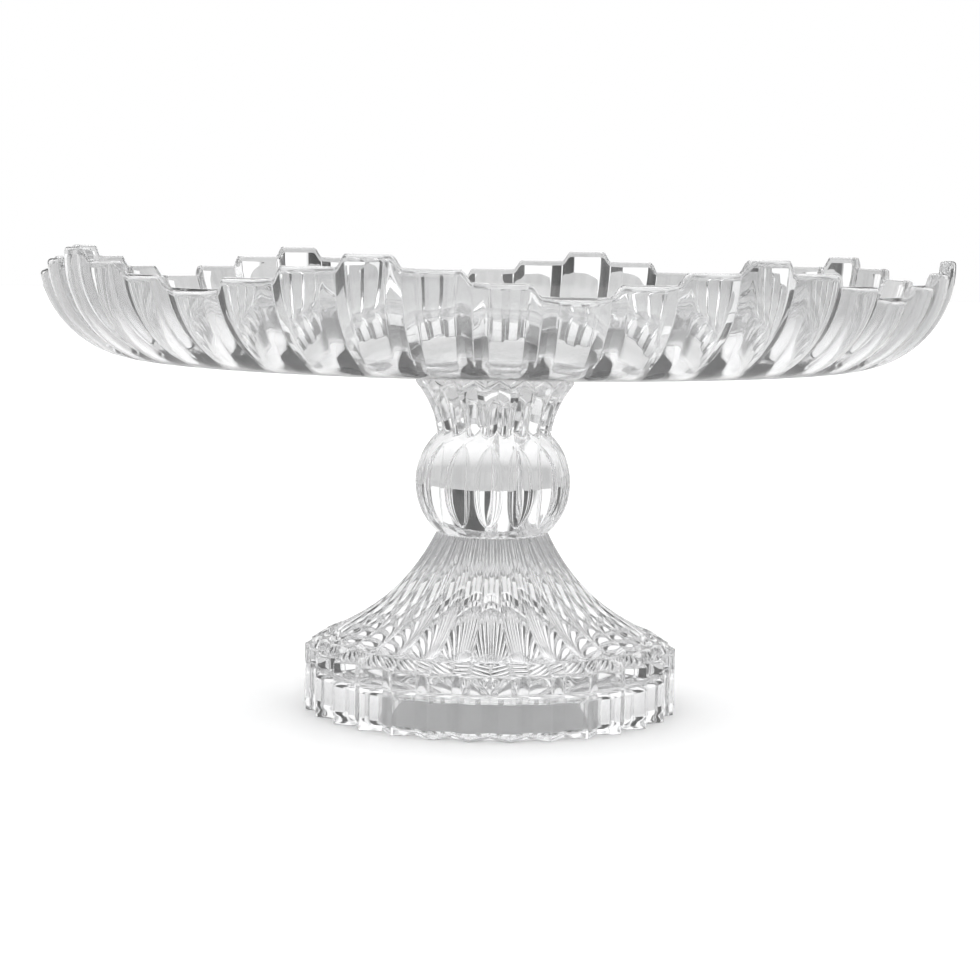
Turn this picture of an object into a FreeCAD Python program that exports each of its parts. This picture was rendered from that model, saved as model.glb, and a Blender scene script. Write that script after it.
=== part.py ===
import FreeCAD, Part

# Footed cake stand in clear pressed glass: a ribbed dish with a stepped, crown-like rim,
# bonded to a one-piece pedestal (fluted trumpet foot, faceted ball, pleated collar).
# Millimetres, +Z up, origin on the table under the middle of the foot. A peak of the rim faces -Y.

import math
import os

import Sketcher

# ---------------------------------------------------------------- driving dimensions

SIZES = [
    # dish
    ("rim_radius", 152.5, "outside radius of the dish at its rim"),
    ("dish_height", 36.3, "underside of the dish to the top of its highest ribs"),
    ("floor_thickness", 5.0, "glass under the cake"),
    ("wall_thickness", 4.5, "glass at the rim"),
    ("wall_curve", 34.0, "outside radius of the bend from the floor into the wall"),
    ("rib_count", 48, "ribs round the wall"),
    ("wave_count", 8, "waves of the rim; rib_count is a multiple of it"),
    ("rim_step", 3.8, "drop from one rib to the next along a wave"),
    ("rib_groove_width", 9.0, "width of the groove between two ribs"),
    ("rib_groove_depth", 2.0, "depth of that groove"),
    # bond
    ("bond_radius", 22.0, "radius of the cured adhesive film"),
    ("bond_thickness", 0.3, "thickness of the film"),
    # pedestal
    ("foot_radius", 63.6, "outside radius of the foot over its teeth"),
    ("skirt_height", 20.8, "upright skirt of the foot"),
    ("skirt_wall", 3.6, "glass between a tooth valley and the hollow"),
    ("tooth_count", 30, "teeth round the skirt, and flutes up the foot"),
    ("tooth_depth", 4.4, "depth of a tooth"),
    ("shoulder_width", 6.2, "sloping band between the skirt and the flutes, across"),
    ("shoulder_rise", 3.6, "the same band, upwards"),
    ("flare_rise", 35.5, "height of the fluted trumpet"),
    ("flare_curve", 70.0, "radius of the trumpet's hollow curve"),
    ("flute_width", 3.4, "width of a flute"),
    ("flute_depth", 0.8, "depth of a flute"),
    ("flute_stop", 1.5, "how far short of the neck a flute ends, degrees of the trumpet's curve"),
    ("neck_radius", 19.3, "top of the trumpet"),
    ("ball_radius", 26.5, "radius of the ball at its middle"),
    ("ball_curve", 23.0, "radius of the ball's outline, seen from the side"),
    ("ball_below", 17.1, "middle of the ball above the trumpet's top"),
    ("ball_above", 16.9, "waist above the middle of the ball"),
    ("facet_count", 15, "facets round the ball"),
    ("facet_groove_width", 3.6, "width of the groove between two facets"),
    ("facet_groove_depth", 1.0, "depth of that groove"),
    ("facet_sweep", 35, "how far the groove runs above and below the ball's middle, degrees"),
    ("waist_radius", 19.5, "bottom of the collar"),
    ("collar_rise", 16.3, "height of the pleated collar, up to its widest place"),
    ("collar_radius", 26.6, "collar at its widest"),
    ("collar_curve", 33.0, "radius of the collar's hollow curve"),
    ("pleat_count", 20, "pleats round the collar"),
    ("pleat_groove_width", 5.0, "width of the groove between two pleats"),
    ("pleat_groove_depth", 1.6, "depth of that groove"),
    ("pleat_stop", 0.5, "how far short of the waist it ends, degrees of the collar's curve"),
    ("crown_rise", 8.0, "height of the slope from the collar in to the dish"),
    ("crown_radius", 22.6, "top of the pedestal, under the dish"),
    ("hollow_edge", 13.0, "height of the hollow under the foot at its side"),
    ("hollow_crown", 15.0, "height of the hollow at its middle"),
    # turns about the axis
    ("pedestal_turn", 8.1, "turn of the pedestal when it is bonded, degrees"),
]

# heights and radii that follow from the driving dimensions
DERIVED = [
    ("shoulder_top", "=skirt_height + shoulder_rise"),
    ("flare_top", "=shoulder_top + flare_rise"),
    ("ball_middle", "=flare_top + ball_below"),
    ("waist_height", "=ball_middle + ball_above"),
    ("collar_top", "=waist_height + collar_rise"),
    ("pedestal_height", "=collar_top + crown_rise"),
    ("dish_under", "=pedestal_height + bond_thickness"),
    ("dish_top", "=dish_under + dish_height"),
    ("wall_bend", "=dish_under + wall_curve"),
    ("bend_radius", "=rim_radius - wall_curve"),
    ("inner_curve", "=wall_curve - wall_thickness"),
    ("inner_radius", "=rim_radius - wall_thickness"),
    ("dish_floor", "=dish_under + floor_thickness"),
    ("rib_angle", "=360 / rib_count"),
    ("wave_ribs", "=rib_count / wave_count"),
    ("tooth_angle", "=360 / tooth_count"),
    ("hollow_radius", "=foot_radius - tooth_depth - skirt_wall"),
    ("hollow_rise", "=hollow_crown - hollow_edge"),
    ("ball_centre", "=ball_radius - ball_curve"),
    ("ball_low_radius", "=ball_centre + sqrt(ball_curve ^ 2 - ball_below ^ 2)"),
    ("ball_high_radius", "=ball_centre + sqrt(ball_curve ^ 2 - ball_above ^ 2)"),
    # centre of the trumpet's hollow curve, outside the glass
    ("shoulder_radius", "=foot_radius - shoulder_width"),
    ("flare_run", "=shoulder_radius - neck_radius"),
    ("flare_chord", "=sqrt(flare_run ^ 2 + flare_rise ^ 2)"),
    ("flare_reach", "=sqrt(flare_curve ^ 2 - flare_chord ^ 2 / 4)"),
    ("flare_out", "=(shoulder_radius + neck_radius) / 2 + flare_rise / flare_chord * flare_reach"),
    ("flare_up", "=(shoulder_top + flare_top) / 2 + flare_run / flare_chord * flare_reach"),
    ("flute_sweep", "=acos((flare_up - flare_top) / flare_curve) - flute_stop * 1 deg"),
    # centre of the collar's hollow curve, outside the glass
    ("collar_run", "=collar_radius - waist_radius"),
    ("collar_chord", "=sqrt(collar_run ^ 2 + collar_rise ^ 2)"),
    ("collar_reach", "=sqrt(collar_curve ^ 2 - collar_chord ^ 2 / 4)"),
    ("collar_out",
     "=(collar_radius + waist_radius) / 2 + collar_rise / collar_chord * collar_reach"),
    ("collar_up",
     "=(waist_height + collar_top) / 2 - collar_run / collar_chord * collar_reach"),
    ("collar_sweep",
     "=acos((waist_height - collar_up) / collar_curve) - pleat_stop * 1 deg"),
]

CLEAR = 5.0  # how far a cutting outline stands outside the glass

doc = FreeCAD.newDocument("CakeStand")
sheet = doc.addObject("Spreadsheet::Sheet", "Sizes")
for row, (alias, value, note) in enumerate(SIZES, start=1):
    sheet.set("A%d" % row, note)
    sheet.set("B%d" % row, str(value))
    sheet.setAlias("B%d" % row, alias)
for row, (alias, formula) in enumerate(DERIVED, start=len(SIZES) + 1):
    sheet.set("B%d" % row, formula)
    sheet.setAlias("B%d" % row, alias)
doc.recompute()


def size(formula):
    """Value of a formula whose names are the sheet's own."""
    value = sheet.evalExpression(formula)
    return float(getattr(value, "Value", value))


def bound(formula):
    """The same formula as another object has to write it."""
    names = sorted([item[0] for item in SIZES + DERIVED], key=len, reverse=True)
    words = []
    word = ""
    for letter in formula + " ":
        if letter.isalnum() or letter == "_":
            word += letter
        else:
            words.append("Sizes." + word if word in names else word)
            words.append(letter)
            word = ""
    return "".join(words).strip()


# ---------------------------------------------------------------- sketches

def plane(body, role):
    """One of a body's own origin planes."""
    return [item for item in body.Origin.OriginFeatures if item.Role == role][0]


def sketch_on(body, name, role, height="0", turn="0"):
    """An empty sketch on an origin plane, moved along its normal and turned about it."""
    sketch = body.newObject("Sketcher::SketchObject", name)
    sketch.AttachmentSupport = [(plane(body, role), "")]
    sketch.MapMode = "FlatFace"
    turned = FreeCAD.Rotation(FreeCAD.Vector(0, 0, 1), size(turn))
    sketch.AttachmentOffset = FreeCAD.Placement(FreeCAD.Vector(0, 0, size(height)), turned)
    if height != "0":
        sketch.setExpression(".AttachmentOffset.Base.z", "(%s) * 1 mm" % bound(height))
    if turn != "0":
        sketch.setExpression(".AttachmentOffset.Rotation.Angle", "(%s) * 1 deg" % bound(turn))
    return sketch


def arc_between(start, end, radius, bow):
    """Short arc between two points; bow is +1 where it bulges to the right of start-to-end."""
    middle = (start + end) * 0.5
    along = end - start
    right = FreeCAD.Vector(along.y, -along.x, 0).normalize()
    reach = math.sqrt(radius ** 2 - (along.Length / 2) ** 2)
    centre = middle - right * reach * bow
    first, last = (start, end) if bow > 0 else (end, start)
    first_angle = math.atan2(first.y - centre.y, first.x - centre.x)
    last_angle = math.atan2(last.y - centre.y, last.x - centre.x)
    circle = Part.Circle(centre, FreeCAD.Vector(0, 0, 1), radius)
    return Part.ArcOfCircle(circle, first_angle, last_angle)


def pin(sketch, edge, end, across, up):
    """Fix one end of an edge by two formulas, measured from the sketch's origin."""
    for kind, axis, formula in (("DistanceX", -2, across), ("DistanceY", -1, up)):
        value = size(formula)
        if abs(value) < 1e-9:
            sketch.addConstraint(Sketcher.Constraint("PointOnObject", edge, end, axis))
            continue
        row = sketch.addConstraint(Sketcher.Constraint(kind, -1, 1, edge, end, value))
        sketch.setExpression("Constraints[%d]" % row, bound(formula))


def outline(sketch, corners, curves=None):
    """Closed outline through corners given as formulas; curves maps an edge to (radius, bow)."""
    curves = curves or {}
    points = [FreeCAD.Vector(size(across), size(up), 0) for across, up in corners]
    ends = []
    for index, start in enumerate(points):
        end = points[(index + 1) % len(points)]
        if index in curves:
            radius, bow = curves[index]
            edge = sketch.addGeometry(arc_between(start, end, size(radius), bow), False)
            row = sketch.addConstraint(Sketcher.Constraint("Radius", edge, size(radius)))
            sketch.setExpression("Constraints[%d]" % row, bound(radius))
            ends.append((edge, 1, 2) if bow > 0 else (edge, 2, 1))
        else:
            edge = sketch.addGeometry(Part.LineSegment(start, end), False)
            ends.append((edge, 1, 2))
    for index, (edge, start, _) in enumerate(ends):
        before, _, before_end = ends[index - 1]
        sketch.addConstraint(Sketcher.Constraint("Coincident", before, before_end, edge, start))
        pin(sketch, edge, start, corners[index][0], corners[index][1])
    return sketch


def axis_line(sketch, ends):
    """Construction line between two points given as formulas, to revolve a cut about."""
    points = [FreeCAD.Vector(size(across), size(up), 0) for across, up in ends]
    edge = sketch.addGeometry(Part.LineSegment(points[0], points[1]), True)
    for end, (across, up) in zip((1, 2), ends):
        pin(sketch, edge, end, across, up)


def groove_wedge(sketch, bottom, top, half_top):
    """V outline that opens towards top; bottom and top are measured along the sketch's Y."""
    return outline(sketch, [("0", bottom), (half_top, top), ("-" + half_top, top)])


# ---------------------------------------------------------------- features

def checked(feature, before, sign):
    """Raise unless the body's volume changed the right way."""
    change = feature.Shape.Volume - before
    if change * sign <= 0:
        raise RuntimeError("%s changed the volume by %.1f" % (feature.Name, change))
    return feature


def turn_solid(body, name, sketch):
    """Solid of revolution about Z."""
    solid = body.newObject("PartDesign::Revolution", name)
    solid.Profile = sketch
    solid.ReferenceAxis = (sketch, ["V_Axis"])
    solid.Angle = 360
    doc.recompute()
    return solid


def cut_along_arc(body, name, sketch, sweep, backwards=False):
    """Groove that follows an arc in an upright plane: the sketch turned about its own axis line."""
    before = body.Tip.Shape.Volume
    cut = body.newObject("PartDesign::Groove", name)
    cut.Profile = sketch
    cut.ReferenceAxis = (sketch, ["Axis0"])
    cut.Angle = size(sweep)
    cut.setExpression("Angle", bound(sweep))
    cut.Reversed = backwards
    doc.recompute()
    return checked(cut, before, -1)


def cut_upwards(body, name, sketch, length=None):
    """Pocket from the sketch towards +Z, through everything unless a length is given."""
    before = body.Tip.Shape.Volume
    cut = body.newObject("PartDesign::Pocket", name)
    cut.Profile = sketch
    cut.Reversed = True
    if length:
        cut.Type = 0
        cut.Length = size(length)
        cut.setExpression("Length", bound(length))
    else:
        cut.Type = 1
    doc.recompute()
    return checked(cut, before, -1)


def round_pattern(body, name, cuts, sketch, count):
    """Repeat cuts about Z, evenly over a whole turn."""
    before = body.Tip.Shape.Volume
    pattern = body.newObject("PartDesign::PolarPattern", name)
    pattern.Originals = cuts
    pattern.Axis = (sketch, ["N_Axis"])
    pattern.Angle = 360
    pattern.Occurrences = int(round(size(count)))
    pattern.setExpression("Occurrences", bound(count))
    body.Tip = pattern
    doc.recompute()
    return checked(pattern, before, -1)


# ---------------------------------------------------------------- dish

def make_plate():
    """Shallow dish: flat floor, curved wall, 48 ribs, rim stepped down and up along each wave."""
    body = doc.addObject("PartDesign::Body", "Plate")
    body.Label = "plate"

    profile = sketch_on(body, "DishProfile", "XZ_Plane")
    outline(profile, [
        ("0", "dish_under"),
        ("bend_radius", "dish_under"),
        ("rim_radius", "wall_bend"),
        ("rim_radius", "dish_top"),
        ("inner_radius", "dish_top"),
        ("inner_radius", "dish_floor + inner_curve"),
        ("bend_radius", "dish_floor"),
        ("0", "dish_floor"),
    ], {1: ("wall_curve", 1), 5: ("inner_curve", -1)})
    turn_solid(body, "Dish", profile)

    # each wave drops one step, then two, then three, over five ribs, three ribs and one rib
    wave = "360 / wave_count / 2"
    steps = int(round(size("wave_ribs"))) // 2
    for step in range(1, steps + 1):
        ribs = 2 * (steps - step) + 1
        level = sketch_on(body, "Step%d" % step, "XY_Plane", "dish_top - %d * rim_step" % step,
                          wave)
        half = "rib_angle * %d / 2 * 1 deg" % ribs
        inside = "(inner_radius - %g)" % CLEAR
        outside = "(rim_radius + %g) / cos(%s)" % (CLEAR, half)
        outline(level, [
            ("%s * cos(%s)" % (inside, half), "%s * -sin(%s)" % (inside, half)),
            ("%s * cos(%s)" % (outside, half), "%s * -sin(%s)" % (outside, half)),
            ("%s * cos(%s)" % (outside, half), "%s * sin(%s)" % (outside, half)),
            ("%s * cos(%s)" % (inside, half), "%s * sin(%s)" % (inside, half)),
        ])
        cut = cut_upwards(body, "StepCut%d" % step, level)
        round_pattern(body, "StepPattern%d" % step, [cut], level, "wave_count")

    # grooves between the ribs, following the bend and then straight up
    wedge = [
        ("rim_radius - rib_groove_depth", "0"),
        ("rim_radius + rib_groove_depth", "-rib_groove_width"),
        ("rim_radius + rib_groove_depth", "rib_groove_width"),
    ]
    low = outline(sketch_on(body, "RibGrooveLow", "XY_Plane", "wall_bend", "rib_angle / 2"), wedge)
    axis_line(low, [("bend_radius", "-rib_groove_width"), ("bend_radius", "rib_groove_width")])
    bend_cut = cut_along_arc(body, "RibBendCut", low, "90")
    high = outline(sketch_on(body, "RibGrooveHigh", "XY_Plane", "wall_bend", "rib_angle / 2"), wedge)
    straight_cut = cut_upwards(body, "RibStraightCut", high)
    round_pattern(body, "RibPattern", [bend_cut, straight_cut], high, "rib_count")
    return body


# ---------------------------------------------------------------- bond

def make_bond():
    """Clear cured adhesive between the collar and the dish."""
    film = doc.addObject("Part::Cylinder", "Bond")
    film.Label = "bond_film"
    film.setExpression("Radius", bound("bond_radius"))
    film.setExpression("Height", bound("bond_thickness"))
    film.setExpression(".Placement.Base.z", bound("pedestal_height") + " * 1 mm")
    return film


# ---------------------------------------------------------------- pedestal

def make_pedestal():
    """One pressing: toothed hollow foot, fluted trumpet, faceted ball, pleated collar."""
    body = doc.addObject("PartDesign::Body", "Pedestal")
    body.Label = "pedestal"

    profile = sketch_on(body, "PedestalProfile", "XZ_Plane")
    outline(profile, [
        ("0", "hollow_crown"),
        ("hollow_radius", "hollow_edge"),
        ("hollow_radius", "0"),
        ("foot_radius", "0"),
        ("foot_radius", "skirt_height"),
        ("foot_radius - shoulder_width", "shoulder_top"),
        ("neck_radius", "flare_top"),
        ("ball_low_radius", "flare_top"),
        ("ball_high_radius", "waist_height"),
        ("waist_radius", "waist_height"),
        ("collar_radius", "collar_top"),
        ("crown_radius", "pedestal_height"),
        ("0", "pedestal_height"),
    ], {
        0: ("(hollow_radius ^ 2 + hollow_rise ^ 2) / (2 * hollow_rise)", -1),
        5: ("flare_curve", -1),
        7: ("ball_curve", 1),
        9: ("collar_curve", -1),
    })
    turn_solid(body, "Blank", profile)

    # teeth: the ridge stays at foot_radius, the valley goes in by tooth_depth
    tooth = sketch_on(body, "Tooth", "XY_Plane")
    half = "tooth_angle / 2 * 1 deg"
    outline(tooth, [
        ("foot_radius - tooth_depth", "0"),
        ("foot_radius * cos(%s)" % half, "foot_radius * -sin(%s)" % half),
        ("foot_radius + tooth_depth", "foot_radius * -sin(%s)" % half),
        ("foot_radius + tooth_depth", "foot_radius * sin(%s)" % half),
        ("foot_radius * cos(%s)" % half, "foot_radius * sin(%s)" % half),
    ])
    cut = cut_upwards(body, "ToothCut", tooth, "shoulder_top")
    round_pattern(body, "ToothPattern", [cut], tooth, "tooth_count")

    # facets of the ball: shallow grooves along its meridians
    facet = sketch_on(body, "Facet", "XY_Plane", "ball_middle")
    outline(facet, [
        ("ball_radius - facet_groove_depth", "0"),
        ("ball_radius + facet_groove_depth", "-facet_groove_width"),
        ("ball_radius + facet_groove_depth", "facet_groove_width"),
    ])
    axis_line(facet, [("ball_centre", "-facet_groove_width"), ("ball_centre", "facet_groove_width")])
    upper = cut_along_arc(body, "FacetUpper", facet, "facet_sweep", backwards=True)
    lower = cut_along_arc(body, "FacetLower", facet, "facet_sweep")
    round_pattern(body, "FacetPattern", [upper, lower], facet, "facet_count")

    # flutes: each follows the trumpet's curve from the shoulder up to the neck
    flute = sketch_on(body, "Flute", "YZ_Plane", "flare_out")
    groove_wedge(flute, "flare_up - flare_curve - flute_depth",
                 "flare_up - flare_curve + flute_depth", "flute_width")
    axis_line(flute, [("-flute_width", "flare_up"), ("flute_width", "flare_up")])
    cut = cut_along_arc(body, "FluteCut", flute, "flute_sweep")
    round_pattern(body, "FlutePattern", [cut], tooth, "tooth_count")

    # pleats of the collar: grooves that follow its curve from its widest place down to the waist
    pleat = sketch_on(body, "Pleat", "YZ_Plane", "collar_out")
    groove_wedge(pleat, "collar_up + collar_curve + pleat_groove_depth",
                 "collar_up + collar_curve - pleat_groove_depth", "pleat_groove_width")
    axis_line(pleat, [("-pleat_groove_width", "collar_up"), ("pleat_groove_width", "collar_up")])
    cut = cut_along_arc(body, "PleatCut", pleat, "collar_sweep", backwards=True)
    round_pattern(body, "PleatPattern", [cut], tooth, "pleat_count")

    turned = FreeCAD.Rotation(FreeCAD.Vector(0, 0, 1), size("pedestal_turn"))
    body.Placement = FreeCAD.Placement(FreeCAD.Vector(), turned)
    body.setExpression(".Placement.Rotation.Angle", "(%s) * 1 deg" % bound("pedestal_turn"))
    return body


plate = make_plate()
bond = make_bond()
pedestal = make_pedestal()
doc.recompute()

# ---------------------------------------------------------------- checks and output

for item in doc.Objects:
    if "Invalid" in item.State or "Error" in item.State:
        raise RuntimeError("%s is %s" % (item.Name, item.State))

os.makedirs("parts", exist_ok=True)
for piece in (plate, bond, pedestal):
    shape = piece.Shape
    if shape.isNull() or not shape.isValid() or len(shape.Solids) != 1:
        raise RuntimeError("%s is not one valid solid" % piece.Label)
    box = shape.optimalBoundingBox(False)
    print("%-10s volume %9.0f mm3, x %.2f..%.2f, z %.2f..%.2f"
          % (piece.Label, shape.Volume, box.XMin, box.XMax, box.ZMin, box.ZMax))
    shape.exportStep("parts/%s.step" % piece.Label)
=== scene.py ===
import math

import bmesh
import bpy
from bpy.props import FloatProperty, FloatVectorProperty, PointerProperty
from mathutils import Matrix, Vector


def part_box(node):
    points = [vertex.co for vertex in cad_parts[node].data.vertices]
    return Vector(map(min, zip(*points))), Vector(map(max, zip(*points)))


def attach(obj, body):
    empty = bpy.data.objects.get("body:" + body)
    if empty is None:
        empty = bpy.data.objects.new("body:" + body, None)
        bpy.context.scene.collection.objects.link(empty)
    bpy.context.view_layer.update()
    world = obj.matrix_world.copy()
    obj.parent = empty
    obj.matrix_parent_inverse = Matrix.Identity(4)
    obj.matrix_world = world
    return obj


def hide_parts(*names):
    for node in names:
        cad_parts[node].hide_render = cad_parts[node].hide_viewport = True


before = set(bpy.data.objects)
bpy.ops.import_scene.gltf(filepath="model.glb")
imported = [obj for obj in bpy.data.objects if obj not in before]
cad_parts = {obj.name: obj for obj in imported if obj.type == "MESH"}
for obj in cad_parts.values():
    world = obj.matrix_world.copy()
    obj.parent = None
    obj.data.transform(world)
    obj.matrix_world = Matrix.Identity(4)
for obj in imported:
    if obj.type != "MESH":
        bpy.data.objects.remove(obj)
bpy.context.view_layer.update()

bl_info = {
    "name": "Pressed Glass Cake Stand",
    "version": (1, 0, 0),
    "blender": (4, 5, 0),
    "location": "View3D > Sidebar > Cake Stand",
    "description": "Models a clear ribbed cake stand round its CAD frame",
    "category": "Add Mesh",
}

MM = 0.001
TOUCH = 0.01 * MM  # two levels or radii closer than this are the same
PLATE_LOW, PLATE_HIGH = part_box("plate")
PEDESTAL_LOW, PEDESTAL_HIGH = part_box("pedestal")
BOND_LOW, BOND_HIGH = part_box("bond_film")

# ---------------------------------------------------------------- modelling helpers


def start_point(name, x, z):
    """A new object with a single vertex in the XZ plane, in edit mode, vertex selected."""
    bpy.ops.object.select_all(action="DESELECT")
    bpy.ops.mesh.primitive_plane_add(size=MM, location=(0, 0, 0))
    piece = bpy.context.object
    piece.name = name
    piece.data.name = name
    bpy.ops.object.mode_set(mode="EDIT")
    bpy.ops.mesh.select_mode(type="VERT")
    bpy.ops.mesh.select_all(action="SELECT")
    bpy.ops.mesh.merge(type="CENTER")
    bpy.ops.transform.translate(value=(x, 0, z))
    return piece


def draw_line(dx, dz, steps=1):
    """Extrude the selected vertex along a straight line, in equal steps."""
    for _ in range(steps):
        bpy.ops.mesh.extrude_vertices_move(
            TRANSFORM_OT_translate={"value": (dx / steps, 0, dz / steps)})


def draw_arc(x, z, degrees, steps):
    """Spin the selected vertex about a centre in the XZ plane; positive turns +Z towards +X."""
    bpy.ops.mesh.spin(steps=steps, angle=-math.radians(degrees), center=(x, 0, z),
                      axis=(0, 1, 0))


def lathe(columns):
    """Spin the drawn profile once round Z and close it."""
    bpy.ops.mesh.select_all(action="SELECT")
    bpy.ops.mesh.spin(steps=columns, angle=math.tau, center=(0, 0, 0), axis=(0, 0, 1))
    bpy.ops.mesh.select_all(action="SELECT")
    bpy.ops.mesh.remove_doubles(threshold=MM * 0.002)
    bpy.ops.mesh.normals_make_consistent(inside=False)
    bpy.ops.object.mode_set(mode="OBJECT")


def reshape(piece, rule):
    """Move every vertex to where rule(angle, radius, height) puts it, as the mould cuts it."""
    mesh = bmesh.new()
    mesh.from_mesh(piece.data)
    for vert in mesh.verts:
        radius = math.hypot(vert.co.x, vert.co.y)
        if radius < TOUCH:
            continue
        angle = math.atan2(vert.co.y, vert.co.x)
        angle, radius, height = rule(angle, radius, vert.co.z)
        vert.co = (radius * math.cos(angle), radius * math.sin(angle), height)
    mesh.to_mesh(piece.data)
    mesh.free()


def smooth_step(value):
    """0 to 1 with level ends."""
    value = min(1.0, max(0.0, value))
    return value * value * (3 - 2 * value)


def facet_radius(valley, ridge, half_turn, turn):
    """Radius on the straight line from a valley at turn 0 to a ridge at turn half_turn."""
    top = valley * ridge * math.sin(half_turn)
    return top / (ridge * math.sin(half_turn - turn) + valley * math.sin(turn))


def finish_piece(piece, node, material):
    """Smooth shading, material, and its place in the frame."""
    bpy.ops.object.select_all(action="DESELECT")
    piece.select_set(True)
    bpy.context.view_layer.objects.active = piece
    bpy.ops.object.shade_smooth()
    piece.data.materials.clear()
    piece.data.materials.append(material)
    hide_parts(node)
    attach(piece, "root")


# ---------------------------------------------------------------- materials


CLEAR_SHARE = 0.985  # light that goes through; the rest is scattered by seeds and scuffs
# The glass's grey base colour is painted shade for the darker surroundings seen through it; the
# first scale sets how slowly that grey changes at random, and the spread sets where its ramp turns
# from darker to lighter.
PAINTED_SHADE_SCALE, HAZE_SCALE, WAVE_SCALE = 9.0, 55.0, 70.0
PAINTED_SHADE_SPREAD = (0.35, 0.65)
HAZE_MOST = 0.03
WAVE_STRENGTH = 0.25


def glass(name, ior, wave_depth, painted_shade_tints):
    """Clear glass: a grey base colour as painted shade for the darker surroundings seen through it,
    changing slowly at random; faint haze, and the mould's shallow waves.
    """
    material = bpy.data.materials.new(name)
    material.use_nodes = True
    nodes = material.node_tree.nodes
    links = material.node_tree.links
    shader = nodes["Principled BSDF"]
    shader.inputs["Transmission Weight"].default_value = CLEAR_SHARE
    shader.inputs["IOR"].default_value = ior
    place = nodes.new("ShaderNodeTexCoord")

    painted_shade_noise = nodes.new("ShaderNodeTexNoise")
    painted_shade_noise.inputs["Scale"].default_value = PAINTED_SHADE_SCALE
    ramp = nodes.new("ShaderNodeValToRGB")
    for element, position, color in zip(ramp.color_ramp.elements, PAINTED_SHADE_SPREAD, painted_shade_tints):
        element.position = position
        element.color = (*color, 1)
    links.new(place.outputs["Object"], painted_shade_noise.inputs["Vector"])
    links.new(painted_shade_noise.outputs["Fac"], ramp.inputs["Fac"])
    # the grey base colour here is painted shade: it dims each pass through the glass as the darker
    # surroundings would
    links.new(ramp.outputs["Color"], shader.inputs["Base Color"])

    haze = nodes.new("ShaderNodeTexNoise")
    haze.inputs["Scale"].default_value = HAZE_SCALE
    haze.inputs["Detail"].default_value = 3.0
    spread = nodes.new("ShaderNodeMapRange")
    spread.inputs["To Max"].default_value = HAZE_MOST
    links.new(place.outputs["Object"], haze.inputs["Vector"])
    links.new(haze.outputs["Fac"], spread.inputs["Value"])
    links.new(spread.outputs["Result"], shader.inputs["Roughness"])

    wave = nodes.new("ShaderNodeTexNoise")
    wave.inputs["Scale"].default_value = WAVE_SCALE
    wave.inputs["Detail"].default_value = 1.0
    bump = nodes.new("ShaderNodeBump")
    bump.inputs["Strength"].default_value = WAVE_STRENGTH
    bump.inputs["Distance"].default_value = wave_depth
    links.new(place.outputs["Object"], wave.inputs["Vector"])
    links.new(wave.outputs["Fac"], bump.inputs["Height"])
    links.new(bump.outputs["Normal"], shader.inputs["Normal"])
    return material


class CAKESTAND_OT_materials(bpy.types.Operator):
    """Make the glass and the cured adhesive"""
    bl_idname = "cakestand.materials"
    bl_label = "Materials"

    def execute(self, context):
        size = context.scene.cake_stand
        # the painted-shade greys go to both the glass and the film
        painted_shade_tints = (size.painted_shade_dark, size.painted_shade_light)
        glass("Pressed glass", 1.52, 0.15 * MM, painted_shade_tints)
        glass("Cured film", 1.49, 0.05 * MM, painted_shade_tints)
        return {"FINISHED"}


# ---------------------------------------------------------------- sizes


class CakeStandSizes(bpy.types.PropertyGroup):
    """Sizes of the visible glass, and its grey base colour, which is painted shade for the darker
    studio seen through the clear glass.
    """
    rib_depth: FloatProperty(name="Rib groove depth", description="Depth of the groove between ribs",
                             default=2.0 * MM, unit="LENGTH")
    rim_step: FloatProperty(name="Rim step", description="Drop from one rib to the next",
                            default=3.8 * MM, unit="LENGTH")
    wall: FloatProperty(name="Wall", description="Glass at the rim", default=4.5 * MM, unit="LENGTH")
    floor: FloatProperty(name="Floor", description="Glass under the cake", default=5.0 * MM,
                         unit="LENGTH")
    bend: FloatProperty(name="Bend", description="Outside radius from the floor into the wall",
                        default=34.0 * MM, unit="LENGTH")
    tooth_depth: FloatProperty(name="Tooth depth", description="Depth of the foot's teeth",
                               default=4.4 * MM, unit="LENGTH")
    # Both greys are painted shade for the darker studio seen through the clear glass, not a colour
    # of the glass itself.
    painted_shade_dark: FloatVectorProperty(name="Darker tint", description="Glass where it is greyest",
                                   default=(0.80, 0.802, 0.805), subtype="COLOR")
    painted_shade_light: FloatVectorProperty(name="Lighter tint", description="Glass where it is clearest",
                                    default=(0.86, 0.862, 0.865), subtype="COLOR")


RIB_COUNT = 48
# height of each rib of a wave, in steps of the rim
WAVE_LEVELS = (3, 2, 1, 0, 1, 2)
# places of the columns across one rib: close together at the groove and at the flat's edges
RIB_COLUMNS = (0.0, 0.015, 0.04, 0.075, 0.115, 0.16, 0.215, 0.26,
               0.5, 0.74, 0.785, 0.84, 0.885, 0.925, 0.96, 0.985)
BEVEL = 0.25  # share of a rib's width that falls off into the groove, on each side
SHOULDER = 0.17  # share of a rib's width in which its top falls to a lower neighbour
GROOVE_START, GROOVE_FADE = 0.10, 0.45  # turns up the bend, in radians, where the grooves begin

TOOTH_COUNT = 30
FACET_COUNT = 15
PLEAT_COUNT = 20
# angles from +X: a valley between teeth, a ridge between facets of the ball, the middle of a pleat
VALLEY_TURN = math.radians(8.1)
RIDGE_TURN = math.radians(4.7)
PLEAT_TURN = math.radians(8.1)
# places of the columns across one tooth, valley to valley
TOOTH_COLUMNS = (0.0, 0.015, 0.045, 0.12, 0.25, 0.38, 0.455, 0.485,
                 0.5, 0.515, 0.545, 0.62, 0.75, 0.88, 0.955, 0.985)
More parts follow.
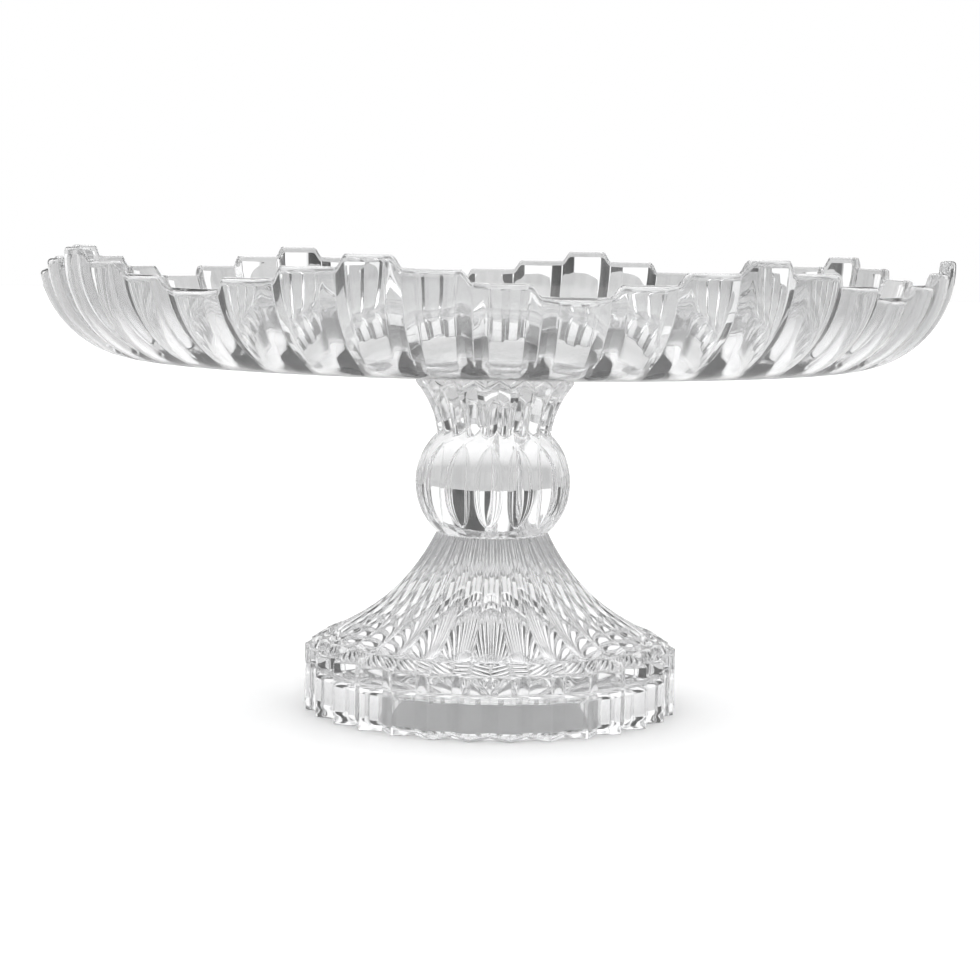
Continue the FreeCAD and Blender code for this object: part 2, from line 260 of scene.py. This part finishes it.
# places across one pleat, middle to middle, close together at the groove
PLEAT_HALF = (0.0, 0.03, 0.09, 0.16, 0.23, 0.30, 0.36, 0.41, 0.45, 0.475, 0.49, 0.497)
PLEAT_COLUMNS = PLEAT_HALF + (0.5,) + tuple(1 - place for place in reversed(PLEAT_HALF[1:]))
# places across half a facet of the ball: the ridge's half first, then the facet up to its middle
STRIP_COLUMNS = (0.0, 0.35, 0.7, 0.9)
FACET_COLUMNS = (0.0, 0.02, 0.06, 0.13, 0.22, 0.33, 0.44, 0.55, 0.66, 0.77, 0.88, 0.95)


def spread_column(angle, start, count, places):
    """(group, place across the group) of the column that stands at this angle."""
    columns = count * len(places)
    index = round((angle - start) / math.tau * columns) % columns
    return index // len(places), places[index % len(places)]


# ---------------------------------------------------------------- plate


def rib_top_level(rib, across):
    """Level of the rim, in steps, across a rib; it falls at the edge next to a lower rib."""
    count = len(WAVE_LEVELS)
    own = level = WAVE_LEVELS[rib % count]
    if WAVE_LEVELS[(rib + 1) % count] < own:
        level -= smooth_step((across - 1 + SHOULDER) / SHOULDER)
    if WAVE_LEVELS[(rib - 1) % count] < own:
        level -= smooth_step((SHOULDER - across) / SHOULDER)
    return level


class CAKESTAND_OT_plate(bpy.types.Operator):
    """Model the ribbed dish with its stepped, wavy rim"""
    bl_idname = "cakestand.plate"
    bl_label = "Plate"

    def execute(self, context):
        size = context.scene.cake_stand
        low, top, rim = PLATE_LOW.z, PLATE_HIGH.z, PLATE_HIGH.x
        bend_x, bend_z = rim - size.bend, low + size.bend
        inner = size.bend - size.wall
        middle = size.bend - size.wall / 2
        round_off = 1.3 * MM
        flat = size.wall - 2 * round_off

        plate = start_point("glass_plate", 0, low)
        draw_line(bend_x * 0.5, 0, 2)
        draw_line(bend_x * 0.5, 0, 4)
        draw_arc(bend_x, bend_z, -90, 32)
        draw_line(0, top - round_off - bend_z, 1)
        draw_arc(rim - round_off, top - round_off, -90, 4)
        draw_line(-flat, 0, 3)
        draw_arc(rim - round_off - flat, top - round_off, -90, 4)
        draw_line(0, bend_z - top + round_off, 1)
        draw_arc(bend_x, bend_z, 90, 24)
        draw_line(-bend_x * 0.5, low + size.floor - (bend_z - inner), 4)
        draw_line(-bend_x * 0.5, 0, 2)
        lathe(RIB_COUNT * len(RIB_COLUMNS))

        rib_turn = math.tau / RIB_COUNT
        first = -math.pi / 2 - rib_turn / 2
        wall_path = middle * math.pi / 2
        full_path = wall_path + top - bend_z

        def path_to(height):
            """Length along the middle of the wall up to a height."""
            if height > bend_z:
                return wall_path + height - bend_z
            return middle * math.acos((bend_z - height) / middle)

        def rule(angle, radius, height):
            """Shorten the wall to its rib's level and cut the groove beside it."""
            rib, across = spread_column(angle, first, RIB_COUNT, RIB_COLUMNS)
            angle = first + (rib + across) * rib_turn
            if radius < bend_x:
                return angle, radius, height
            # place on the wall: how far along it, and how far out from its middle
            if height < bend_z:
                along = middle * math.atan2(radius - bend_x, bend_z - height)
                out = math.hypot(radius - bend_x, bend_z - height) - middle
            else:
                along = wall_path + height - bend_z
                out = radius - bend_x - middle
            level = rib_top_level(rib, across)
            along *= path_to(top - (max(WAVE_LEVELS) - level) * size.rim_step) / full_path
            # groove between the ribs, on the outside only, fading out below the bend
            edge = min(across, 1 - across)
            cut = max(0.0, 1 - edge / BEVEL)
            fade = smooth_step((along / middle - GROOVE_START) / GROOVE_FADE)
            outside = min(1.0, max(0.0, out / size.wall + 0.5))
            out -= size.rib_depth * cut * fade * outside
            turn = min(along / middle, math.pi / 2)
            radius = bend_x + (middle + out) * math.sin(turn)
            height = bend_z - (middle + out) * math.cos(turn) + max(0.0, along - wall_path)
            return angle, radius, height

        reshape(plate, rule)
        finish_piece(plate, "plate", bpy.data.materials["Pressed glass"])
        return {"FINISHED"}


# ---------------------------------------------------------------- pedestal


def arc_centre(start, end, radius):
    """Centre of an arc from start to end that lies to the right of the way."""
    dx, dz = end[0] - start[0], end[1] - start[1]
    chord = math.hypot(dx, dz)
    reach = math.sqrt(radius ** 2 - chord ** 2 / 4)
    return ((start[0] + end[0]) / 2 + dz / chord * reach,
            (start[1] + end[1]) / 2 - dx / chord * reach)


def arc_degrees(start, end, radius):
    """Degrees of the arc between two points."""
    return math.degrees(2 * math.asin(math.dist(start, end) / 2 / radius))


class CAKESTAND_OT_pedestal(bpy.types.Operator):
    """Model the pedestal: toothed hollow foot, fluted trumpet, faceted ball and pleated collar"""
    bl_idname = "cakestand.pedestal"
    bl_label = "Pedestal"

    def execute(self, context):
        size = context.scene.cake_stand
        top = PEDESTAL_HIGH.z
        foot = 63.6 * MM
        skirt = 20.8 * MM
        valley = foot - size.tooth_depth
        hollow = valley - 3.6 * MM
        hollow_edge, hollow_crown = 13.0 * MM, 15.0 * MM
        shoulder = (57.4 * MM, 24.4 * MM)
        neck = (19.1 * MM, 59.9 * MM)
        ball, ball_curve, ball_z = 26.5 * MM, 23.0 * MM, 77.0 * MM
        ball_x = ball - ball_curve
        waist_z = 93.5 * MM
        collar_foot = (19.5 * MM, 93.9 * MM)
        collar_top = (26.6 * MM, 110.2 * MM)
        crown = 22.6 * MM
        flare, collar = 70.0 * MM, 33.0 * MM

        def ball_radius(height):
            return ball_x + math.sqrt(max(0.0, ball_curve ** 2 - (height - ball_z) ** 2))

        rise = hollow_crown - hollow_edge
        dome = (hollow ** 2 + rise ** 2) / (2 * rise)
        flare_c = arc_centre(shoulder, neck, flare)
        collar_c = arc_centre(collar_foot, collar_top, collar)
        ball_foot, ball_head = ball_radius(neck[1]), ball_radius(waist_z)
        ball_turn = math.degrees(math.asin((ball_z - neck[1]) / ball_curve)
                                 + math.asin((waist_z - ball_z) / ball_curve))
        rounding = 0.7 * MM
        columns = TOOTH_COUNT * len(TOOTH_COLUMNS)

        pedestal = start_point("glass_pedestal", 0, hollow_crown)
        draw_arc(0, hollow_crown - dome, math.degrees(math.asin(hollow / dome)), 10)
        draw_line(0, -hollow_edge, 5)
        draw_line(foot - hollow, 0, 5)
        draw_line(0, skirt - rounding, 8)
        draw_line(0, rounding, 4)
        draw_line(shoulder[0] - foot, shoulder[1] - skirt, 8)
        draw_arc(*flare_c, arc_degrees(shoulder, neck, flare), 48)
        draw_line(ball_foot - neck[0], 0, 1)
        draw_arc(ball_x, ball_z, -ball_turn, 56)
        draw_line(collar_foot[0] - ball_head, collar_foot[1] - waist_z, 2)
        draw_arc(*collar_c, arc_degrees(collar_foot, collar_top, collar), 22)
        draw_line(crown - collar_top[0], top - collar_top[1], 8)
        draw_line(-crown, 0, 4)
        lathe(columns)

        tooth_turn = math.tau / TOOTH_COUNT
        facet_turn = math.tau / FACET_COUNT
        pleat_turn = math.tau / PLEAT_COUNT
        facet_columns = columns // FACET_COUNT
        # oval cuts of the ball: half height, half-turn, depth, and the fade beyond their tips
        facet_reach = 13.6 * MM
        facet_half = math.radians(10.4)
        facet_depth = 1.4 * MM
        facet_fade = 2.4 * MM
        # flutes: depth as a share of the radius, the line of their lower ends, how far it sags
        # at their sides, and the way along the trumpet in which they reach their depth
        flute_depth = 1.9 / 48
        flute_start, flute_sag, flute_run = 0.012, 0.045, 0.035
        # pleats: depths below and above, lift of their grooves at the waist and at the rim
        pleat_low, pleat_high = 1.7 * MM, 2.4 * MM
        waist_lift, rim_lift, lift_reach = 2.6 * MM, 2.8 * MM, 5 * MM
        rim_start = 0.6
        shoulder_angle = math.atan2(shoulder[1] - flare_c[1], shoulder[0] - flare_c[0])
        neck_angle = math.atan2(neck[1] - flare_c[1], neck[0] - flare_c[0])

        def tooth_place(index):
            """(angle, place) of a column among the teeth, place 0 and 1 at the valleys."""
            tooth, step = divmod(index, len(TOOTH_COLUMNS))
            place = TOOTH_COLUMNS[step]
            return VALLEY_TURN + (tooth + place) * tooth_turn, place

        def facet_edge(height):
            """Half-turn of the oval at a height; its ends are rounded."""
            part = min(1.0, abs(height - ball_z) / facet_reach)
            return facet_half * (1 - part ** 3) ** 0.6

        def facet_place(index, height):
            """(angle, turn from the facet's middle, half-turn of the oval) of a column."""
            facet, step = divmod(index, facet_columns)
            half = facet_columns // 2
            near = min(step, facet_columns - step)
            edge = max(facet_edge(height), math.radians(1.0))
            even = facet_turn / 2 * near / half
            strip = facet_turn / 2 - edge
            if near < len(STRIP_COLUMNS):
                turn = strip * STRIP_COLUMNS[near]
            elif near < half:
                turn = strip + edge * FACET_COLUMNS[near - len(STRIP_COLUMNS)]
            else:
                turn = facet_turn / 2
            # beyond the oval's tips the columns spread out again
            spread = smooth_step((abs(height - ball_z) - facet_reach) / facet_fade)
            turn = turn + (even - turn) * spread
            middle = facet_turn / 2 - turn
            if step > half:
                turn = facet_turn - turn
            return RIDGE_TURN + facet * facet_turn + turn, middle

        def pleat_place(index):
            """(angle, 0 at a pleat's middle to 1 at its groove) of a column."""
            pleat, step = divmod(index, len(PLEAT_COLUMNS))
            place = PLEAT_COLUMNS[step]
            return PLEAT_TURN + (pleat + place) * pleat_turn, 2 * min(place, 1 - place)

        def on_skirt(index, radius, height):
            """Underside, wall and sloping top of the toothed foot."""
            angle, place = tooth_place(index)
            turn = min(place, 1 - place) * tooth_turn
            toothed = facet_radius(valley, foot, tooth_turn / 2, turn)
            if height < TOUCH:
                part = (radius - hollow) / (foot - hollow)
                return angle, hollow + part * (toothed - hollow), height
            if radius > foot - TOUCH:
                # rounded upper edge
                part = max(0.0, (height - skirt + rounding) / rounding)
                drop = rounding * (1 - math.sqrt(max(0.0, 1 - part ** 2)))
                return angle, toothed - drop * 0.8, height - part ** 2 * rounding * 0.25
            part = (radius - shoulder[0]) / (foot - shoulder[0])
            return angle, shoulder[0] + part * (toothed - 0.6 * MM - shoulder[0]), \
                height - 0.18 * MM * part

        def on_flare(index, radius, height):
            """The trumpet with a hollow flute above each tooth."""
            angle, place = tooth_place(index)
            across = 2 * min(place, 1 - place)
            way = (math.atan2(height - flare_c[1], radius - flare_c[0]) - shoulder_angle) \
                / (neck_angle - shoulder_angle)
            # the rows bend round the flute's end: it reaches furthest down at its middle
            sag = flute_sag * across ** 2
            if way > 0:
                shift = sag * max(0.0, 1 - abs(way - 0.05) / 0.3)
                way += shift * (1 - smooth_step((0.02 - way) / 0.02))
            turn = shoulder_angle + way * (neck_angle - shoulder_angle)
            deep = smooth_step((way - flute_start - sag) / flute_run)
            reach = flare + flute_depth * radius * (1 - across ** 2) * deep
            return angle, flare_c[0] + reach * math.cos(turn), flare_c[1] + reach * math.sin(turn)

        def on_ball(index, height):
            """The ball with its ovals; its rows bend up between the pleats' round ends."""
            pleat_angle, groove = pleat_place(index)
            weight = max(0.0, (height - (waist_z - lift_reach)) / lift_reach)
            lifted = height + waist_lift * groove ** 2 * weight ** 2
            angle, middle = facet_place(index, height)
            outer = ball_radius(lifted)
            edge = facet_edge(height)
            if middle < edge:
                # a flat, slightly hollow oval between raised ridges
                side = middle / edge
                outer -= facet_depth * (edge / facet_half) ** 0.7 * (1 - side ** 5)
            # columns change from the facets' spacing to the pleats' above, the teeth's below
            high = smooth_step((height - (ball_z + facet_reach)) / (waist_z - ball_z - facet_reach))
            low = smooth_step((ball_z - facet_reach - height) / (ball_z - facet_reach - neck[1]))
            tooth_angle, _ = tooth_place(index)
            angle = angle + (pleat_angle - angle) * high + (tooth_angle - angle) * low
            return angle, outer, lifted

        def on_collar(index, radius, height):
            """The hollow curve of the collar with the grooves between its pleats."""
            angle, groove = pleat_place(index)
            way = (height - waist_z) / (collar_top[1] - waist_z)
            depth = (pleat_low + (pleat_high - pleat_low) * way) * groove ** 1.5
            lifted = height + waist_lift * groove ** 2 * max(0.0, 1 - way) ** 2
            lifted += rim_lift * groove * max(0.0, way - rim_start) / (1 - rim_start)
            if lifted > collar_foot[1]:
                radius = collar_c[0] - math.sqrt(collar ** 2 - (lifted - collar_c[1]) ** 2)
            return angle, radius - depth, lifted

        def on_crown(index, height):
            """The plain cone from the collar's scalloped rim in to the bond."""
            angle, groove = pleat_place(index)
            part = (height - collar_top[1]) / (top - collar_top[1])
            lifted = height + rim_lift * groove * (1 - part)
            line = collar_top[0] + (crown - collar_top[0]) * (lifted - collar_top[1]) \
                / (top - collar_top[1])
            return angle, line, lifted

        def rule(angle, radius, height):
            """Send a vertex to the rule of the part of the pedestal that it is on."""
            index = round(angle / math.tau * columns) % columns
            if height > collar_top[1] + TOUCH and radius > crown - TOUCH:
                return on_crown(index, height)
            if height > top - TOUCH:
                angle, _ = pleat_place(index)
                return angle, radius, height
            if height > waist_z + TOUCH:
                return on_collar(index, radius, height)
            if height > neck[1] + TOUCH:
                return on_ball(index, height)
            if radius > shoulder[0] + TOUCH:
                return on_skirt(index, radius, height)
            if height > shoulder[1] - TOUCH:
                return on_flare(index, radius, height)
            return tooth_place(index)[0], radius, height

        reshape(pedestal, rule)
        finish_piece(pedestal, "pedestal", bpy.data.materials["Pressed glass"])
        return {"FINISHED"}


# ---------------------------------------------------------------- bond


class CAKESTAND_OT_bond(bpy.types.Operator):
    """Model the clear cured film between the pedestal and the plate"""
    bl_idname = "cakestand.bond"
    bl_label = "Bond film"

    def execute(self, context):
        gap = 0.03 * MM
        low, high = BOND_LOW.z + gap, BOND_HIGH.z - gap
        radius = BOND_HIGH.x
        bulge = (high - low) / 2
        film = start_point("bond_film_clear", 0, low)
        draw_line(radius - bulge, 0, 3)
        draw_arc(radius - bulge, low + bulge, -180, 4)
        draw_line(bulge - radius, 0, 3)
        lathe(96)
        finish_piece(film, "bond_film", bpy.data.materials["Cured film"])
        return {"FINISHED"}


# ---------------------------------------------------------------- stage

VIEW_TURN = 13.8  # degrees that the viewer stands round from -Y towards +X
VIEW_DISTANCE, VIEW_HEIGHT = 5.3949, 1.0504  # in rim radii
VIEW_PITCH, VIEW_ROLL = 5.966, 1.0  # degrees
SENSOR, LENS, SHIFT = 36, 89.07428571428571, -0.003  # sensor and lens in mm
PANELS = 10
PANEL_EDGE = (-0.45, 0.15)  # sine of the turn at which a panel begins and is full
PANEL_LIGHT, PANEL_GAP_LIGHT, OVERHEAD_LIGHT = 1.35, 0.10, 2.3
OVERHEAD_EDGE = (0.60, 0.77)  # rise of the way to it
# The floor is evenly pale to the camera; the second tone is painted shade, a greyer floor met only
# through or in the glass in place of darker surroundings, reached over the distances on the next
# line.
FLOOR_TONE, FLOOR_PAINTED_SHADE_IN_GLASS = 0.97, 0.44
FLOOR_PAINTED_SHADE_REACH = (0.16, 0.34)  # metres from the axis
BOUNCES, GLOSSY_BOUNCES = 48, 24


def studio_light(scene):
    """A room with soft upright light panels round it and a bright one overhead."""
    world = bpy.data.worlds.new("Studio")
    scene.world = world
    world.use_nodes = True
    nodes = world.node_tree.nodes
    links = world.node_tree.links

    def put(kind, *inputs, **settings):
        """Add a node with its settings and inputs, and give its first output."""
        node = nodes.new(kind)
        for name, value in settings.items():
            setattr(node, name, value)
        for socket, value in zip(node.inputs, inputs):
            if hasattr(value, "node"):
                links.new(value, socket)
            elif value is not None:
                socket.default_value = value
        return node.outputs[0]

    way = nodes.new("ShaderNodeSeparateXYZ")
    links.new(nodes.new("ShaderNodeTexCoord").outputs["Generated"], way.inputs["Vector"])
    turn = put("ShaderNodeMath", way.outputs["Y"], way.outputs["X"], operation="ARCTAN2")
    wave = put("ShaderNodeMath", turn, PANELS, math.pi / 2 - PANELS * math.radians(90 + VIEW_TURN),
               operation="MULTIPLY_ADD")
    wave = put("ShaderNodeMath", wave, operation="SINE")
    walls = put("ShaderNodeMapRange", wave, *PANEL_EDGE, PANEL_GAP_LIGHT, PANEL_LIGHT,
                interpolation_type="SMOOTHSTEP")
    high = put("ShaderNodeMapRange", way.outputs["Z"], *OVERHEAD_EDGE, 0.0, 1.0,
               interpolation_type="SMOOTHSTEP")
    room = put("ShaderNodeMapRange", high, 0.0, 1.0, walls, OVERHEAD_LIGHT)
    # the open background behind the stand is plain white
    seen = nodes.new("ShaderNodeLightPath").outputs["Is Camera Ray"]
    light = put("ShaderNodeMapRange", seen, 0.0, 1.0, room, 1.0)
    links.new(light, nodes["Background"].inputs["Strength"])
    nodes["Background"].inputs["Color"].default_value = (1, 1, 1, 1)


def floor_paint():
    """Pale floor; where it is met through or in the glass it is greyer away from the stand, painted
    shade in place of darker surroundings.
    """
    paint = bpy.data.materials.new("Studio floor")
    paint.use_nodes = True
    nodes = paint.node_tree.nodes
    links = paint.node_tree.links
    shader = nodes["Principled BSDF"]
    shader.inputs["Roughness"].default_value = 0.9
    reach = nodes.new("ShaderNodeVectorMath")
    reach.operation = "LENGTH"
    links.new(nodes.new("ShaderNodeTexCoord").outputs["Object"], reach.inputs[0])
    floor_shade_ramp = nodes.new("ShaderNodeValToRGB")
    floor_and_painted_shade_tones = (FLOOR_TONE, FLOOR_PAINTED_SHADE_IN_GLASS)
    for element, position, level in zip(floor_shade_ramp.color_ramp.elements, FLOOR_PAINTED_SHADE_REACH, floor_and_painted_shade_tones):
        element.position = position
        element.color = (level, level, level, 1)
    links.new(reach.outputs["Value"], floor_shade_ramp.inputs["Fac"])
    # Rays through or off the glass see the painted shade; camera and diffuse rays see the plain pale
    # floor.
    ray = nodes.new("ShaderNodeLightPath")
    painted_shade_mask = nodes.new("ShaderNodeMath")
    painted_shade_mask.operation = "MAXIMUM"
    links.new(ray.outputs["Is Transmission Ray"], painted_shade_mask.inputs[0])
    links.new(ray.outputs["Is Glossy Ray"], painted_shade_mask.inputs[1])
    floor_and_painted_shade_tone = nodes.new("ShaderNodeMapRange")
    links.new(painted_shade_mask.outputs[0], floor_and_painted_shade_tone.inputs["Value"])
    floor_and_painted_shade_tone.inputs["To Min"].default_value = FLOOR_TONE
    links.new(floor_shade_ramp.outputs["Color"], floor_and_painted_shade_tone.inputs["To Max"])
    links.new(floor_and_painted_shade_tone.outputs["Result"], shader.inputs["Base Color"])
    return paint


class CAKESTAND_OT_stage(bpy.types.Operator):
    """Floor, studio light and camera"""
    bl_idname = "cakestand.stage"
    bl_label = "Stage"

    def execute(self, context):
        scene = context.scene
        bpy.ops.object.select_all(action="DESELECT")
        bpy.ops.mesh.primitive_circle_add(vertices=96, radius=6, fill_type="NGON",
                                          location=(0, 0, -0.0002))
        floor = context.object
        floor.name = "studio_floor"
        floor.data.materials.append(floor_paint())

        studio_light(scene)
        scene.view_settings.view_transform = "Standard"
        scene.cycles.max_bounces = BOUNCES
        scene.cycles.transmission_bounces = BOUNCES
        scene.cycles.glossy_bounces = GLOSSY_BOUNCES

        rim = PLATE_HIGH.x
        azimuth = math.radians(VIEW_TURN)
        distance = VIEW_DISTANCE * rim
        height = VIEW_HEIGHT * rim
        pitch = math.radians(VIEW_PITCH)
        roll = math.radians(VIEW_ROLL)
        bpy.ops.object.camera_add(
            location=(distance * math.sin(azimuth), -distance * math.cos(azimuth), height))
        camera = context.object
        camera.data.lens = LENS
        camera.data.sensor_width = SENSOR
        camera.data.shift_x = SHIFT
        look = Vector((-math.sin(azimuth) * math.cos(pitch), math.cos(azimuth) * math.cos(pitch),
                       -math.sin(pitch)))
        turn = look.to_track_quat("-Z", "Y").to_matrix()
        side, up = turn.col[0].copy(), turn.col[1].copy()
        turned_side = side * math.cos(roll) + up * math.sin(roll)
        turned_up = up * math.cos(roll) - side * math.sin(roll)
        turn.col[0], turn.col[1] = turned_side, turned_up
        camera.rotation_euler = turn.to_euler()
        scene.camera = camera
        return {"FINISHED"}


class CAKESTAND_PT_panel(bpy.types.Panel):
    """Buttons for the pieces and the stage"""
    bl_label = "Cake Stand"
    bl_idname = "CAKESTAND_PT_panel"
    bl_space_type = "VIEW_3D"
    bl_region_type = "UI"
    bl_category = "Cake Stand"

    def draw(self, context):
        for operator in OPERATORS:
            self.layout.operator(operator.bl_idname)


OPERATORS = (CAKESTAND_OT_materials, CAKESTAND_OT_stage, CAKESTAND_OT_plate,
             CAKESTAND_OT_pedestal, CAKESTAND_OT_bond)
CLASSES = (CakeStandSizes, *OPERATORS, CAKESTAND_PT_panel)


def register():
    for item in CLASSES:
        bpy.utils.register_class(item)
    bpy.types.Scene.cake_stand = PointerProperty(type=CakeStandSizes)


def unregister():
    del bpy.types.Scene.cake_stand
    for item in reversed(CLASSES):
        bpy.utils.unregister_class(item)


def main():
    register()
    bpy.ops.cakestand.materials()
    bpy.ops.cakestand.stage()
    bpy.ops.cakestand.plate()
    bpy.ops.cakestand.pedestal()
    bpy.ops.cakestand.bond()


if __name__ == "__main__":
    main()
